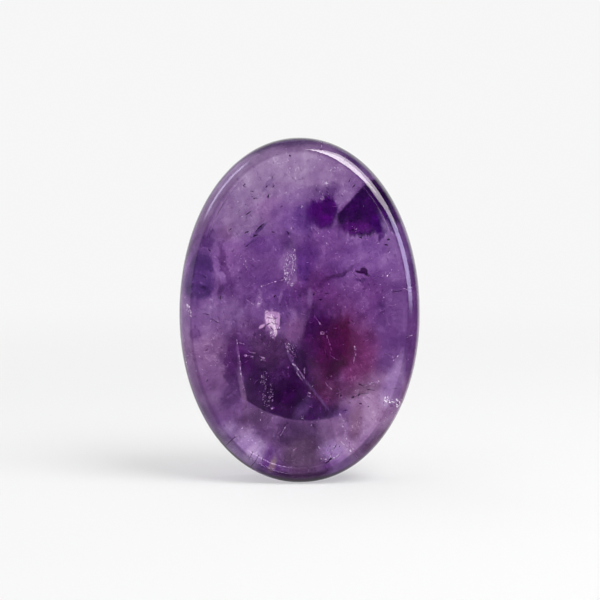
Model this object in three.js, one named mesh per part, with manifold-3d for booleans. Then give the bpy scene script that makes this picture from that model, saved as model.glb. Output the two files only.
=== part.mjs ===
// An oval worry stone of polished amethyst: one solid crystal, ground to an oval slab with a rounded edge,
// a shallow thumb dish in its front face and a gently domed back.
// It stands on a small flat at its foot. The origin is on that flat, under the middle of the stone.
// X runs across the stone, Y from the dished front (-Y) to the domed back (+Y), and Z up its length.
import * as THREE from "three";
import { mergeVertices } from "three/addons/utils/BufferGeometryUtils.js";
import Module from "manifold-3d";

const wasm = await Module();
wasm.setup();

// The slab, in millimetres
const WIDTH = 35;
const HEIGHT = 50; // from the flat foot to the top
const WIDEST_AT = 24.3; // height of the widest place above the foot
const FOOT_DEPTH = 0.35; // how much of the oval the flat foot takes off
const RIM_THICKNESS = 8.8; // from the front rim's crest to the back rim's
const BACK_CROWN = 0.8; // how far the domed back stands out beyond its rim
const EDGE_REACH = 2.5; // how far the rounded edge runs in from the outline, to the rim's crest

// The thumb dish
const DISH_DEPTH = 1.5;
const DISH_HALF_WIDTH = 13.9;
const DISH_TOP = 46.2; // height of its upper lip above the foot
const DISH_BOTTOM = 8.4; // height of its lower lip
const LIP_SOFTNESS = 0.06; // share of the depth over which the lip rounds off
const LIP_BEGINS = 0.96; // share of the half width where the rings close up to follow the lip

// Roundness of the curves, where 2 is an ellipse and more is squarer
const OUTLINE_POWER = 2.05;
const DISH_POWER = 2.3;
const EDGE_POWER = 2.2;

// How many facets go round the stone, and how many rings of them make each stretch of its profile
const SIDES = 96;
const DISH_RINGS = 9;
const LIP_RINGS = 4;
const EDGE_RINGS = 16;
const BACK_RINGS = 6;

const CREST = WIDTH / 2 - EDGE_REACH; // the rim crest's distance from the axis, across the stone
const FRONT = -(RIM_THICKNESS + BACK_CROWN) / 2; // the front crest's place along Y
const BACK = FRONT + RIM_THICKNESS;

// A power that keeps the sign of a sine or cosine
const bend = (value, power) => Math.sign(value) * Math.abs(value) ** power;

// How deep the dish lies at this distance from its middle: a parabola that fades out smoothly at the lip
function dishedAt(radius) {
  const bowl = 1 - (radius / DISH_HALF_WIDTH) ** 2;
  return (DISH_DEPTH * (bowl + Math.hypot(bowl, LIP_SOFTNESS))) / 2;
}

// The profile from the middle of the front face, over the rounded edge, to the middle of the back:
// points at a distance from the axis and a place along Y
function profile() {
  const points = [];
  const lipStart = DISH_HALF_WIDTH * LIP_BEGINS;
  for (let i = 0; i < DISH_RINGS; i++) {
    const radius = (lipStart * i) / DISH_RINGS;
    points.push(new THREE.Vector2(radius, FRONT + dishedAt(radius)));
  }
  for (let i = 0; i < LIP_RINGS; i++) {
    const radius = THREE.MathUtils.lerp(lipStart, CREST, i / LIP_RINGS);
    points.push(new THREE.Vector2(radius, FRONT + dishedAt(radius)));
  }
  for (let i = 0; i <= EDGE_RINGS; i++) {
    const turn = (Math.PI * i) / EDGE_RINGS;
    const outward = bend(Math.sin(turn), 2 / EDGE_POWER);
    const backward = (1 - bend(Math.cos(turn), 2 / EDGE_POWER)) / 2;
    points.push(new THREE.Vector2(CREST + EDGE_REACH * outward, FRONT + RIM_THICKNESS * backward));
  }
  for (let i = BACK_RINGS - 1; i >= 0; i--) {
    const share = i / BACK_RINGS;
    points.push(new THREE.Vector2(CREST * share, BACK + BACK_CROWN * (1 - share ** 2)));
  }
  return points;
}

// The outline of the slab, this far in from its widest: half width, reach up and down from the middle,
// the middle's height above the foot, and roundness
const slabOval = (inset) => ({
  halfWidth: WIDTH / 2 - inset,
  up: HEIGHT - WIDEST_AT - inset,
  down: WIDEST_AT + FOOT_DEPTH - inset,
  middle: WIDEST_AT,
  power: OUTLINE_POWER,
});

const dishLip = {
  halfWidth: DISH_HALF_WIDTH,
  up: (DISH_TOP - DISH_BOTTOM) / 2,
  down: (DISH_TOP - DISH_BOTTOM) / 2,
  middle: (DISH_TOP + DISH_BOTTOM) / 2,
  power: DISH_POWER,
};

const shrunk = (oval, share) => ({
  ...oval,
  halfWidth: oval.halfWidth * share,
  up: oval.up * share,
  down: oval.down * share,
});

function between(inner, outer, share) {
  const oval = {};
  for (const key of Object.keys(inner)) oval[key] = THREE.MathUtils.lerp(inner[key], outer[key], share);
  return oval;
}

// The oval that a circle of the profile is drawn out into
function ovalOf(radius, inFront) {
  if (radius >= CREST) return slabOval(WIDTH / 2 - radius);
  const crestOval = slabOval(EDGE_REACH);
  if (!inFront) return shrunk(crestOval, radius / CREST);
  if (radius <= DISH_HALF_WIDTH) return shrunk(dishLip, radius / DISH_HALF_WIDTH);
  return between(dishLip, crestOval, (radius - DISH_HALF_WIDTH) / (CREST - DISH_HALF_WIDTH));
}

// The whole oval slab: a lathe turned about Y, with each of its circles drawn out into its oval
function ovalSlab() {
  const geometry = new THREE.LatheGeometry(profile(), SIDES);
  const position = geometry.getAttribute("position");
  for (let i = 0; i < position.count; i++) {
    const across = position.getX(i);
    const along = position.getY(i);
    const upward = position.getZ(i);
    const oval = ovalOf(Math.hypot(across, upward), along < 0);
    const turn = Math.atan2(across, upward);
    const reach = upward > 0 ? oval.up : oval.down;
    const x = oval.halfWidth * bend(Math.sin(turn), 2 / oval.power);
    const z = oval.middle + reach * bend(Math.cos(turn), 2 / oval.power);
    position.setXYZ(i, x, along, z);
  }
  return geometry;
}

// A closed geometry as a solid that can be cut. The triangles with no area at a lathe's poles are dropped
function solidOf(geometry) {
  const bare = geometry.clone();
  bare.deleteAttribute("normal");
  bare.deleteAttribute("uv");
  const merged = mergeVertices(bare);
  const corners = merged.index.array;
  const triangles = [];
  for (let i = 0; i < corners.length; i += 3) {
    const [a, b, c] = corners.slice(i, i + 3);
    if (a !== b && b !== c && c !== a) triangles.push(a, b, c);
  }
  return new wasm.Manifold(
    new wasm.Mesh({
      numProp: 3,
      vertProperties: merged.getAttribute("position").array,
      triVerts: new Uint32Array(triangles),
    }),
  );
}

function geometryOf(solid) {
  const mesh = solid.getMesh();
  const geometry = new THREE.BufferGeometry();
  geometry.setAttribute("position", new THREE.BufferAttribute(mesh.vertProperties, 3));
  geometry.setIndex(new THREE.BufferAttribute(mesh.triVerts, 1));
  geometry.computeVertexNormals();
  return geometry;
}

// The stone: the slab with everything below the floor ground away, which leaves its flat foot
function worryStone() {
  const below = new THREE.BoxGeometry(WIDTH, WIDTH, WIDTH).translate(0, 0, -WIDTH / 2);
  const geometry = geometryOf(solidOf(ovalSlab()).subtract(solidOf(below)));
  const amethyst = new THREE.MeshStandardMaterial({ color: 0x6b4291, roughness: 0.06, metalness: 0 });
  const stone = new THREE.Mesh(geometry, amethyst);
  stone.name = "worry_stone";
  return stone;
}

const part = new THREE.Group();
part.add(worryStone());

export default part;
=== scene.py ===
"""A polished amethyst worry stone on its small flat foot, on a pale floor in soft studio light."""
import math

import bpy
import numpy as np
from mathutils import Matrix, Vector


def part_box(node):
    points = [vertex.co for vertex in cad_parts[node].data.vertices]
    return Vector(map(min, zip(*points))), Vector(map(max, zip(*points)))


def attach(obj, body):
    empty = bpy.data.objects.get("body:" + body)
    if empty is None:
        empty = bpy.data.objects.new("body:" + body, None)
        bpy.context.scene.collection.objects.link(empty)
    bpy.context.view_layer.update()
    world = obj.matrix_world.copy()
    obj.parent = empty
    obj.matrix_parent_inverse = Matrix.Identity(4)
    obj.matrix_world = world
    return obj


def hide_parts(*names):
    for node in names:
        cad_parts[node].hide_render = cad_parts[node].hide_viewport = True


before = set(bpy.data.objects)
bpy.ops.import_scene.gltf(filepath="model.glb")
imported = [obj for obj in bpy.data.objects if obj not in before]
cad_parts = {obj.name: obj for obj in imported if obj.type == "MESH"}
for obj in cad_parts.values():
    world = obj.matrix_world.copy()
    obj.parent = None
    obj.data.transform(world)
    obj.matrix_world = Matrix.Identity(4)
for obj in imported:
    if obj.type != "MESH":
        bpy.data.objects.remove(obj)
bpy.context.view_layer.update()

MM = 0.001

# The stone's size comes from the frame. The rest repeats the cut of the CAD solid, in millimetres
stone_low, stone_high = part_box("worry_stone")
WIDTH = (stone_high[0] - stone_low[0]) / MM
HEIGHT = (stone_high[2] - stone_low[2]) / MM
THICKNESS = (stone_high[1] - stone_low[1]) / MM
WIDEST_AT = 24.3  # height of the widest place above the foot
FOOT_DEPTH = 0.35  # how much of the oval the flat foot takes off
BACK_CROWN = 0.8  # how far the domed back stands out beyond its rim
EDGE_REACH = 2.5  # how far the rounded edge runs in from the outline, to the rim's crest
DISH_DEPTH = 1.5
DISH_HALF_WIDTH = 13.9
DISH_TOP = 46.2  # height of its upper lip above the foot
DISH_BOTTOM = 8.4  # height of its lower lip
LIP_SOFTNESS = 0.06  # share of the depth over which the lip rounds off
RIM_THICKNESS = THICKNESS - BACK_CROWN
CREST = WIDTH / 2 - EDGE_REACH  # the rim crest's distance from the axis, across the stone
FRONT = -THICKNESS / 2  # the front crest's place along Y
BACK = FRONT + RIM_THICKNESS

# Roundness of the curves, where 2 is an ellipse and more is squarer
OUTLINE_POWER = 2.05
DISH_POWER = 2.3
EDGE_POWER = 2.2

# How many points go round the stone, and how many rings of them make each stretch of its profile
SIDES = 400
DISH_RINGS = 40
LIP_RINGS = 16
EDGE_RINGS = 64
BACK_RINGS = 30
LIP_BEGINS = 0.94  # share of the dish's half width where the rings close up to follow the lip


def linear(code):
    """An sRGB hex colour as linear red, green, blue and a full alpha."""
    shares = [int(code[i:i + 2], 16) / 255 for i in (1, 3, 5)]
    return [s / 12.92 if s <= 0.04045 else ((s + 0.055) / 1.055) ** 2.4 for s in shares] + [1.0]


def mesh_piece(name, points, faces, smooth=True):
    """Puts points in millimetres and faces into a new object at the origin."""
    mesh = bpy.data.meshes.new(name)
    mesh.from_pydata((np.asarray(points) * MM).tolist(), [], faces)
    mesh.polygons.foreach_set("use_smooth", [smooth] * len(mesh.polygons))
    mesh.update()
    piece = bpy.data.objects.new(name, mesh)
    bpy.context.scene.collection.objects.link(piece)
    return piece


def ring_mesh(points, closed_end=True):
    """Vertices and faces of a stack of rings, each joined to the next.

    The first ring closes up to one point, and so does the last one of a shape with a closed end."""
    sides = points.shape[1]
    here = np.arange(sides)
    after = (here + 1) % sides
    full_rings = points[1:-1] if closed_end else points[1:]
    verts = np.concatenate([points[0, :1], full_rings.reshape(-1, 3)])
    row = 1 + np.arange(len(full_rings) - 1)[:, None] * sides
    bands = np.stack([row + here, row + after, row + sides + after, row + sides + here], axis=-1)
    fan = np.stack([np.zeros(sides, int), 1 + after, 1 + here], axis=-1)
    faces = fan.tolist() + bands.reshape(-1, 4).tolist()
    if closed_end:
        end = len(verts)
        last_row = end - sides
        verts = np.concatenate([verts, points[-1, :1]])
        faces += np.stack([np.full(sides, end), last_row + here, last_row + after], axis=-1).tolist()
    return verts, faces


def node(tree, kind, inputs=(), **settings):
    """Adds one node.

    The settings are its properties, and inputs gives a socket its value or the output that feeds it."""
    made = tree.nodes.new("ShaderNode" + kind)
    for name, value in settings.items():
        setattr(made, name, value)
    for socket, value in dict(inputs).items():
        if isinstance(value, bpy.types.NodeSocket):
            tree.links.new(value, made.inputs[socket])
        else:
            made.inputs[socket].default_value = value
    return made


# The stone's shape

def bend(value, power):
    """A power that keeps the sign."""
    return np.sign(value) * np.abs(value) ** power


def dished_at(radius):
    """The dish's depth: a parabola over the distance from its middle, faded out smoothly at the lip."""
    bowl = 1 - (radius / DISH_HALF_WIDTH) ** 2
    return DISH_DEPTH * (bowl + np.hypot(bowl, LIP_SOFTNESS)) / 2


def stone_profile():
    """The profile from the middle of the front face, over the rounded edge, to the middle of the back.

    Each point has a distance from the axis and a place along Y. In front it follows the dish's depth, the
    edge is half a squared-off ellipse, and the back's crown is a parabola."""
    dish = np.linspace(0, DISH_HALF_WIDTH * LIP_BEGINS, DISH_RINGS, endpoint=False)
    lip = np.linspace(DISH_HALF_WIDTH * LIP_BEGINS, CREST, LIP_RINGS, endpoint=False)
    front = np.concatenate([dish, lip])
    turn = np.linspace(0, np.pi, EDGE_RINGS + 1)
    out = bend(np.sin(turn), 2 / EDGE_POWER)
    back_share = (1 - bend(np.cos(turn), 2 / EDGE_POWER)) / 2
    crown = np.linspace(1, 0, BACK_RINGS + 1)[1:]
    radius = np.concatenate([front, CREST + EDGE_REACH * out, CREST * crown])
    along = np.concatenate([FRONT + dished_at(front), FRONT + RIM_THICKNESS * back_share,
                            BACK + BACK_CROWN * (1 - crown ** 2)])
    return radius, along


def stone_points():
    """Rings round the Y axis, each drawn out into its own oval.

    From the edge to the rim's crest the oval is the outline set in by the same amount all round. In front it
    then changes to the dish's lip and shrinks to the dish's middle. At the back it shrinks with the crest's
    shape. Points under the floor are brought up onto it, which makes the flat foot."""
    radius, along = stone_profile()
    turn = np.linspace(0, 2 * np.pi, SIDES, endpoint=False)
    sine, cosine = np.sin(turn), np.cos(turn)
    inset = WIDTH / 2 - np.maximum(radius, CREST)
    shrink = np.where(along < 0, np.clip(radius / DISH_HALF_WIDTH, 0, 1), np.clip(radius / CREST, 0, 1))
    to_crest = np.where(along < 0, np.clip((radius - DISH_HALF_WIDTH) / (CREST - DISH_HALF_WIDTH), 0, 1), 1)
    dish_reach = (DISH_TOP - DISH_BOTTOM) / 2
    dish_middle = (DISH_TOP + DISH_BOTTOM) / 2

    def blended(dish_value, slab_value):
        return dish_value + (slab_value - dish_value) * to_crest

    half_width = blended(DISH_HALF_WIDTH, WIDTH / 2 - inset) * shrink
    up = blended(dish_reach, HEIGHT - WIDEST_AT - inset) * shrink
    down = blended(dish_reach, WIDEST_AT + FOOT_DEPTH - inset) * shrink
    middle = blended(dish_middle, WIDEST_AT)
    power = blended(DISH_POWER, OUTLINE_POWER)[:, None]
    x = half_width[:, None] * bend(sine, 2 / power)
    reach = np.where(cosine > 0, up[:, None], down[:, None])
    z = middle[:, None] + reach * bend(cosine, 2 / power)
    y = np.broadcast_to(along[:, None], x.shape)
    return np.stack([x, y, np.maximum(z, 0)], axis=-1)


# How the front view shows a place in the stone, whose faces bend the light. A millimetre across or up shows
# as a little less, and as less still for each millimetre of depth, and a deeper place shows higher. The
# height of the middle shows as the shown middle's
MIDDLE = 27.0
SHOWN_MIDDLE = 27.09
ACROSS, ACROSS_PER_DEPTH = 0.987, -0.0074
UP, UP_PER_DEPTH = 0.990, -0.0052
RISE_PER_DEPTH = 0.066

# The stone's colour, as ovals in the millimetres of the front view, a few of them painted shade, highlights
# or refraction: middle across and up, half width, half height, lean in degrees, softness of the edge, colour,
# strength, how the edge is swayed, and the painted lip arc or flat face that cuts it off. A later oval lies
# over those before it
ZONES = [
    # The pale top, and the clouded middle under it
    (-2.0, 45.2, 8.6, 3.4, 0, 1.1, "#a591b2", 0.85, "wavy", None),
    (-8.3, 41.2, 4.4, 5.6, 32, 1.1, "#957fa4", 0.8, "wavy", None),
    # Painted shade: this dark strip along the top edge stands in for the rounded edge's darkness there
    (-2.4, 49.6, 4.6, 0.8, -4, 0.8, "#4f3560", 0.8, "frayed", None),
    (0.0, 41.6, 3.0, 2.2, 0, 1.2, "#8b6ca0", 0.8, "wavy", None),
    (-4.4, 39.7, 2.2, 2.0, 0, 1.2, "#9672a6", 0.65, "wavy", None),
    (-0.8, 38.2, 3.0, 2.6, 0, 1.2, "#7b5599", 0.75, "wavy", None),
    (0.4, 38.2, 1.2, 2.2, 0, 0.9, "#562a7c", 0.75, "frayed", None),
    # The upper left, with the indigo patch at the edge and its dark lines
    (-9.4, 32.8, 2.6, 2.6, 0, 1.2, "#976eaa", 0.8, "wavy", None),
    (-4.6, 34.4, 3.2, 1.6, 10, 1.1, "#673b85", 0.75, "frayed", None),
    (-1.7, 35.3, 1.1, 1.4, -20, 1.0, "#451a63", 0.8, "frayed", None),
    (-5.6, 31.0, 4.4, 2.6, 8, 1.2, "#673b80", 0.8, "frayed", None),
    (-13.1, 35.5, 0.8, 1.4, 10, 0.9, "#4c2568", 0.8, "frayed", None),
    (-13.2, 32.8, 0.9, 1.1, 0, 1.0, "#7f5c98", 0.6, "frayed", None),
    (-13.9, 29.8, 1.4, 3.1, 4, 0.6, "#47236b", 0.85, "frayed", None),
    (-10.9, 31.6, 0.4, 3.2, -16, 1.2, "#582a6e", 0.75, "frayed", None),
    (-9.8, 28.2, 2.6, 1.7, 0, 1.2, "#5b3073", 0.75, "frayed", None),
    (-11.5, 27.8, 0.4, 1.1, 0, 1.0, "#45205c", 0.7, "frayed", None),
    (-11.8, 31.0, 0.5, 2.0, -28, 0.8, "#8a64a3", 0.75, "frayed", None),
    # The upper right, pale at the top and purple down to the middle
    (9.2, 33.0, 5.2, 4.0, 0, 1.2, "#7f579b", 0.8, "wavy", None),
    (4.2, 34.0, 3.2, 2.8, 0, 1.2, "#65347e", 0.75, "wavy", None),
    (9.5, 26.5, 3.6, 4.4, 0, 1.2, "#663179", 0.7, "wavy", None),
    (4.4, 30.6, 2.2, 1.6, 0, 1.2, "#5a2873", 0.6, "frayed", None),
    (4.6, 44.9, 3.4, 1.9, 0, 1.1, "#8a6c9b", 0.7, "wavy", None),
    (1.8, 48.0, 3.0, 1.2, -6, 1.0, "#a793b4", 0.85, "frayed", None),
    (5.2, 42.2, 3.2, 1.3, 0, 1.1, "#5d3877", 0.75, "frayed", None),
    (6.8, 42.2, 1.1, 2.2, 40, 0.8, "#8a6c9f", 0.75, "crisp", None),
    # The darkest patch and the wedge beside it
    (2.8, 39.3, 1.9, 1.9, 0, 0.6, "#48066c", 1.0, "feathered", None),
    (3.5, 39.0, 1.6, 2.1, 0, 0.5, "#400160", 1.0, "feathered", None),
    (4.3, 40.2, 1.1, 1.9, -25, 0.5, "#360156", 1.0, "feathered", None),
    (9.6, 39.6, 4.4, 3.6, -20, 0.22, "#240140", 1.0, "feathered", "growth face"),
    (11.7, 37.9, 1.4, 1.6, 0, 0.4, "#320156", 1.0, "feathered", None),
    (12.0, 36.3, 0.45, 1.2, 20, 0.6, "#360158", 0.9, "feathered", None),
    (7.6, 37.1, 2.6, 0.8, 0, 0.8, "#4c0a68", 0.8, "feathered", None),
    # Below the wedge: the dark line that falls to the right, the fleck at its end, and the right edge
    (4.0, 36.2, 1.8, 0.9, 0, 1.0, "#82549a", 0.7, "frayed", None),
    (4.4, 29.8, 3.5, 0.3, -27, 0.9, "#38104f", 0.95, "frayed", None),
    (1.4, 28.2, 1.8, 0.55, -24, 1.0, "#482063", 0.8, "frayed", None),
    (9.4, 30.9, 0.55, 0.45, 20, 0.4, "#260238", 1.0, "crisp", None),
    (8.8, 30.7, 0.7, 0.2, 12, 0.6, "#260238", 1.0, "crisp", None),
    (9.7, 30.5, 0.22, 0.45, -30, 0.6, "#260238", 1.0, "crisp", None),
    (8.9, 29.5, 0.6, 0.25, 20, 0.8, "#4a1f66", 0.8, "frayed", None),
    (5.5, 25.5, 0.5, 1.1, -10, 0.9, "#3d1054", 0.8, "frayed", None),
    (13.5, 36.4, 1.0, 3.0, -12, 1.0, "#8c70a4", 0.7, "wavy", None),
    (11.9, 25.6, 0.7, 1.0, 0, 1.0, "#4d2568", 0.7, "frayed", None),
    (13.4, 21.4, 1.6, 2.0, 10, 1.1, "#6a3e80", 0.7, "frayed", None),
    # The middle, with the upright sheet, and the left side
    (0.6, 32.2, 1.6, 3.0, 0, 0.9, "#592578", 0.8, "wavy", None),
    (1.2, 27.8, 4.4, 2.8, 0, 1.2, "#591e68", 0.8, "wavy", None),
    (5.2, 25.6, 2.4, 2.2, 0, 1.2, "#5c2668", 0.75, "silky", None),
    (-1.3, 31.6, 1.2, 3.0, 0, 0.8, "#86669a", 0.6, "silky", "upright sheet"),
    (0.6, 31.4, 0.9, 2.6, 0, 1.0, "#4f2474", 0.75, "crisp", None),
    (-0.1, 25.2, 0.35, 2.4, 3, 0.9, "#4b2066", 0.6, "crisp", None),
    (-4.0, 27.6, 4.0, 2.2, 10, 1.2, "#5b3079", 0.75, "wavy", None),
    (-10.6, 24.3, 4.6, 2.2, 0, 1.2, "#7b5b90", 0.8, "wavy", None),
    (-7.0, 26.4, 1.8, 2.6, 0, 1.2, "#673c7e", 0.6, "wavy", None),
    (-12.0, 17.0, 3.4, 5.5, 4, 1.1, "#7d5b88", 0.8, "wavy", None),
    (-12.4, 11.6, 1.8, 2.0, 0, 1.1, "#6b4f79", 0.6, "wavy", None),
    # A painted highlight: this pale strip down the left edge copies the glint streak on the left rim
    (-16.1, 26.0, 0.8, 5.0, 2, 0.6, "#a692b2", 0.8, "crisp", None),
    (-13.2, 19.6, 2.6, 1.8, 0, 1.1, "#8a6794", 0.7, "frayed", None),
    (-6.8, 22.2, 2.6, 1.7, 0, 1.2, "#59306a", 0.8, "frayed", None),
    # The wine-coloured heart
    (3.0, 21.6, 3.4, 3.7, 0, 0.9, "#350248", 1.0, "silky", None),
    (8.2, 17.8, 3.4, 6.0, -4, 1.1, "#67265f", 1.0, "silky", None),
    (6.0, 20.4, 1.7, 3.6, 6, 1.0, "#4f083f", 1.0, "silky", None),
    (3.8, 17.8, 2.6, 5.4, 12, 0.9, "#3f033c", 1.0, "silky", None),
    (1.4, 19.6, 1.6, 1.7, 0, 0.9, "#380444", 0.85, "silky", None),
    (1.5, 15.2, 1.6, 2.8, -20, 1.1, "#682e66", 0.85, "frayed", None),
    # The dark lower left, down to the dish lip arc, where its round end is painted as the lip's refraction
    # shows it
    (-3.9, 14.8, 6.3, 6.6, 10, 0.5, "#2b033d", 0.97, "frayed", "dish lip arc"),
    (-4.4, 19.3, 2.5, 2.3, 10, 1.1, "#563062", 0.7, "frayed", None),
    (0.4, 11.4, 5.2, 3.4, 0, 0.5, "#220034", 0.95, "frayed", "dish lip arc"),
    (-9.4, 17.6, 2.0, 3.9, 6, 0.9, "#420856", 0.88, "frayed", "dish lip arc"),
    (-9.4, 13.4, 1.8, 2.6, 0, 1.1, "#553169", 0.8, "frayed", None),
    # The bright patch above it, and pale and dark streaks over the upper half
    (-4.0, 23.4, 1.1, 1.6, -14, 0.7, "#a37cae", 0.8, "feathered", None),
    (-4.6, 23.9, 0.42, 1.2, -10, 0.4, "#d6b8da", 0.9, "crisp", None),
    (-3.9, 23.0, 0.4, 1.7, -16, 0.4, "#e6d2e8", 0.92, "feathered", None),
    (-3.2, 23.7, 0.34, 1.1, 4, 0.4, "#c8a8d0", 0.85, "crisp", None),
    (-3.9, 24.6, 0.9, 0.35, 6, 0.6, "#bb97c4", 0.8, "crisp", None),
    (-5.5, 22.8, 0.5, 0.22, -30, 0.5, "#c9a6ce", 0.9, "crisp", None),
    (-3.9, 21.7, 0.4, 0.7, 0, 0.9, "#a380ae", 0.7, "feathered", None),
    (-0.8, 22.4, 1.5, 2.0, 18, 0.9, "#7f5489", 0.7, "silky", None),
    (-5.9, 26.6, 0.4, 1.1, 8, 0.9, "#8c69a1", 0.7, "crisp", None),
    (-2.8, 27.0, 0.22, 0.9, 14, 1.0, "#8a68a0", 0.6, "crisp", None),
    (1.5, 27.0, 0.4, 1.2, 0, 1.0, "#7c5891", 0.7, "crisp", None),
    (-4.6, 43.6, 0.3, 1.5, 25, 1.2, "#70518a", 0.6, "frayed", None),
    (-5.7, 36.9, 0.22, 1.2, 46, 1.0, "#4d2a6a", 0.9, "crisp", None),
    (-6.9, 35.1, 0.18, 0.7, 60, 1.0, "#4d2a6a", 0.8, "crisp", None),
    (-10.5, 36.6, 0.9, 1.6, 30, 1.1, "#74507f", 0.6, "frayed", None),
    (-3.2, 39.5, 1.3, 0.8, -50, 1.1, "#7d5a95", 0.5, "frayed", None),
    # The lowest corner of the painted lip arc, and streaks through the dark zone
    (2.9, 10.4, 2.3, 1.8, -30, 0.16, "#33064a", 0.95, "crisp", "dish lip arc"),
    (4.6, 13.0, 2.6, 1.8, 0, 1.0, "#511e4a", 0.8, "frayed", None),
    (-0.6, 16.8, 0.22, 2.4, -28, 1.0, "#64467a", 0.6, "crisp", None),
    (2.6, 12.6, 0.2, 3.0, -38, 1.2, "#5f4274", 0.65, "crisp", None),
    (-9.0, 18.2, 0.13, 2.4, -5, 1.2, "#6e4a80", 0.6, "crisp", None),
    (-8.2, 12.8, 0.36, 3.2, -12, 1.1, "#82648c", 0.75, "crisp", None),
    (0.4, 10.6, 0.8, 2.0, 35, 1.1, "#503068", 0.7, "crisp", None),
    # Below the dish lip arc: a paler band, painted as the lip's refraction shows it
    (1.6, 9.0, 12.0, 3.4, 0, 0.6, "#6b4a79", 0.85, "wavy", "below the dish lip arc"),
    (-6.0, 9.8, 3.0, 1.4, -20, 1.1, "#5a3d66", 0.75, "frayed", "below the dish lip arc"),
    (0.0, 7.0, 4.2, 2.0, 0, 1.0, "#452955", 0.9, "frayed", "below the dish lip arc"),
    # The pale lower right
    (11.0, 11.2, 3.4, 4.2, 20, 1.1, "#a78aad", 0.9, "wavy", None),
    (10.4, 6.4, 2.0, 2.8, 20, 1.1, "#a285ad", 0.85, "frayed", None),
    (6.0, 7.8, 2.6, 1.7, 0, 1.1, "#8c6d96", 0.65, "frayed", None),
    (8.0, 8.8, 0.8, 2.6, 4, 1.1, "#866480", 0.6, "silky", None),
    (7.0, 6.4, 0.3, 3.4, -14, 1.2, "#a88fb6", 0.6, "frayed", None),
    (12.8, 12.2, 1.1, 1.3, -20, 1.1, "#c8b8d0", 0.75, "frayed", None),
    (8.8, 13.6, 2.4, 1.0, -10, 1.0, "#54284f", 0.6, "frayed", None),
    (7.0, 5.0, 1.8, 1.8, 0, 1.0, "#b098b8", 0.85, "frayed", None),
    (15.2, 17.4, 3.4, 6.6, 10, 0.7, "#9d82b2", 0.9, "wavy", "slanting face"),
    (13.6, 19.6, 1.2, 3.6, 28, 1.0, "#5f3578", 0.7, "crisp", None),
    # The foot
    (-7.4, 5.2, 2.4, 2.2, -40, 0.7, "#b29cc6", 0.85, "frayed", None),
    (-6.9, 5.0, 1.1, 0.6, -40, 0.9, "#c6b6d3", 0.6, "crisp", None),
    (-10.6, 7.6, 1.8, 1.7, 0, 1.1, "#917aa6", 0.85, "frayed", None),
    (-3.7, 3.4, 0.4, 1.0, 12, 1.1, "#a08f8c", 0.7, "frayed", None),
    (0.4, 4.0, 3.4, 3.2, 0, 1.0, "#553d5a", 0.9, "wavy", None),
    (4.7, 4.7, 1.8, 1.5, 0, 0.9, "#9f84b6", 0.85, "frayed", None),
]

# The crystal between the zones is cloudy: the clouds' size in millimetres, and their darkest and palest
# colour, each with the level of the noise that it sets in at
CLOUD_SIZE = 6.25
CLOUD_COLOURS = [(0.36, "#653c80"), (0.64, "#86629b")]

# How the zones' edges are swayed by noise, once or twice: the size of its waves across, in depth and up, its
# detail, and how far it moves the edge across, in depth and up, in millimetres
SWAYS = {
    "wavy": [((4.545, 4.545, 4.545), 3.0, (1.8, 0, 1.8))],
    "frayed": [((2.5, 2.5, 2.5), 3.0, (1.3, 0, 1.3)), ((0.625, 0.625, 0.625), 2.0, (0.2, 0, 0.2))],
    "crisp": [((0.8333, 0.8333, 0.8333), 3.0, (0.15, 0, 0.15))],
    "feathered": [((0.6667, 1.0, 5.0), 3.0, (0.1, 0, 1.3))],
    "silky": [((2.5, 2.5, 2.5), 2.0, (0.8, 0, 0.8)), ((0.9091, 1.0, 5.0), 3.0, (0.3, 0, 1.6))],
}

# A round arc low in the stone, where the dish's lower lip shows by refraction, painted into the colour: the
# dark zone ends on it and a paler band lies below it. Its middle in the front view, and the stretch of
# distance from it, in millimetres, over which the colour ends
LIP_ARC_MIDDLE = (1.1, 0, 23.6)
LIP_ARC_BEGINS, LIP_ARC_ENDS = 14.5, 14.9

# Flat faces inside the crystal that cut a zone off: which way each faces in the front view, and the stretch
# along that way over which the colour ends
FLAT_FACES = [
    ("growth face", (-0.746, 0, 0.665), 21.7, 22.05),
    ("upright sheet", (1, 0, 0), -0.35, -0.2),
    ("slanting face", (-0.875, 0, 0.484), -3.2, -2.9),
]

# Patterns that make the colour stronger or weaker, added to the even strength: lean in degrees, size across,
# in depth and up in millimetres, detail, roughness and weight. Their noise is 0.5 on the whole, so all of
# them come to about 1. Grit is finer in the real stone, and drawn as coarse as it needs to show
EVEN_STRENGTH = 0.06
MOTTLING = (0, (2.0, 2.0, 2.0), 2.5, 0.5, 1.0)
GROWTH_LINES = (-38, (5.0, 2.0, 1.111), 3.0, 0.5, 0.4)
UPRIGHT_SILK = (0, (0.8333, 1.25, 5.0), 3.0, 0.5, 0.3)
GRIT = (0, (0.4167, 0.4167, 0.4167), 2.0, 0.6, 0.28)

# Short dashes, one to a cell of this size: dark flakes and pale ones. Each kind has a lean, the draws of a
# cell that leave it bare and give it a full dash, and its weight
DASH_CELL = (1.111, 2.0, 0.3846)
DASH_FULL, DASH_ENDS = 0.12, 0.26  # how far from its middle a dash is full and ends, in cells
DASHES = [(48, 0.5, 0.54, 0.6), (70, 0.46, 0.42, -0.4)]
# The noise that gathers them in places: its size, and the levels at which they begin and are full
GATHERED_SIZE, GATHERED_BEGINS, GATHERED_FULL = 3.333, 0.42, 0.6

# Fine threads where a slow noise crosses its middle: its size, how far off the middle a thread ends, and for
# the pale and the dark ones where their noise begins, and their weight
THREAD_SIZE, THREAD_ENDS = 1.818, 0.014
THREADS = [(11.0, -0.35), (37.0, 0.4)]
# The noise that keeps stretches of them: its size, and the levels at which they begin and are full
STRETCH_SIZE, STRETCH_BEGINS, STRETCH_FULL = 0.7692, 0.47, 0.6

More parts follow.
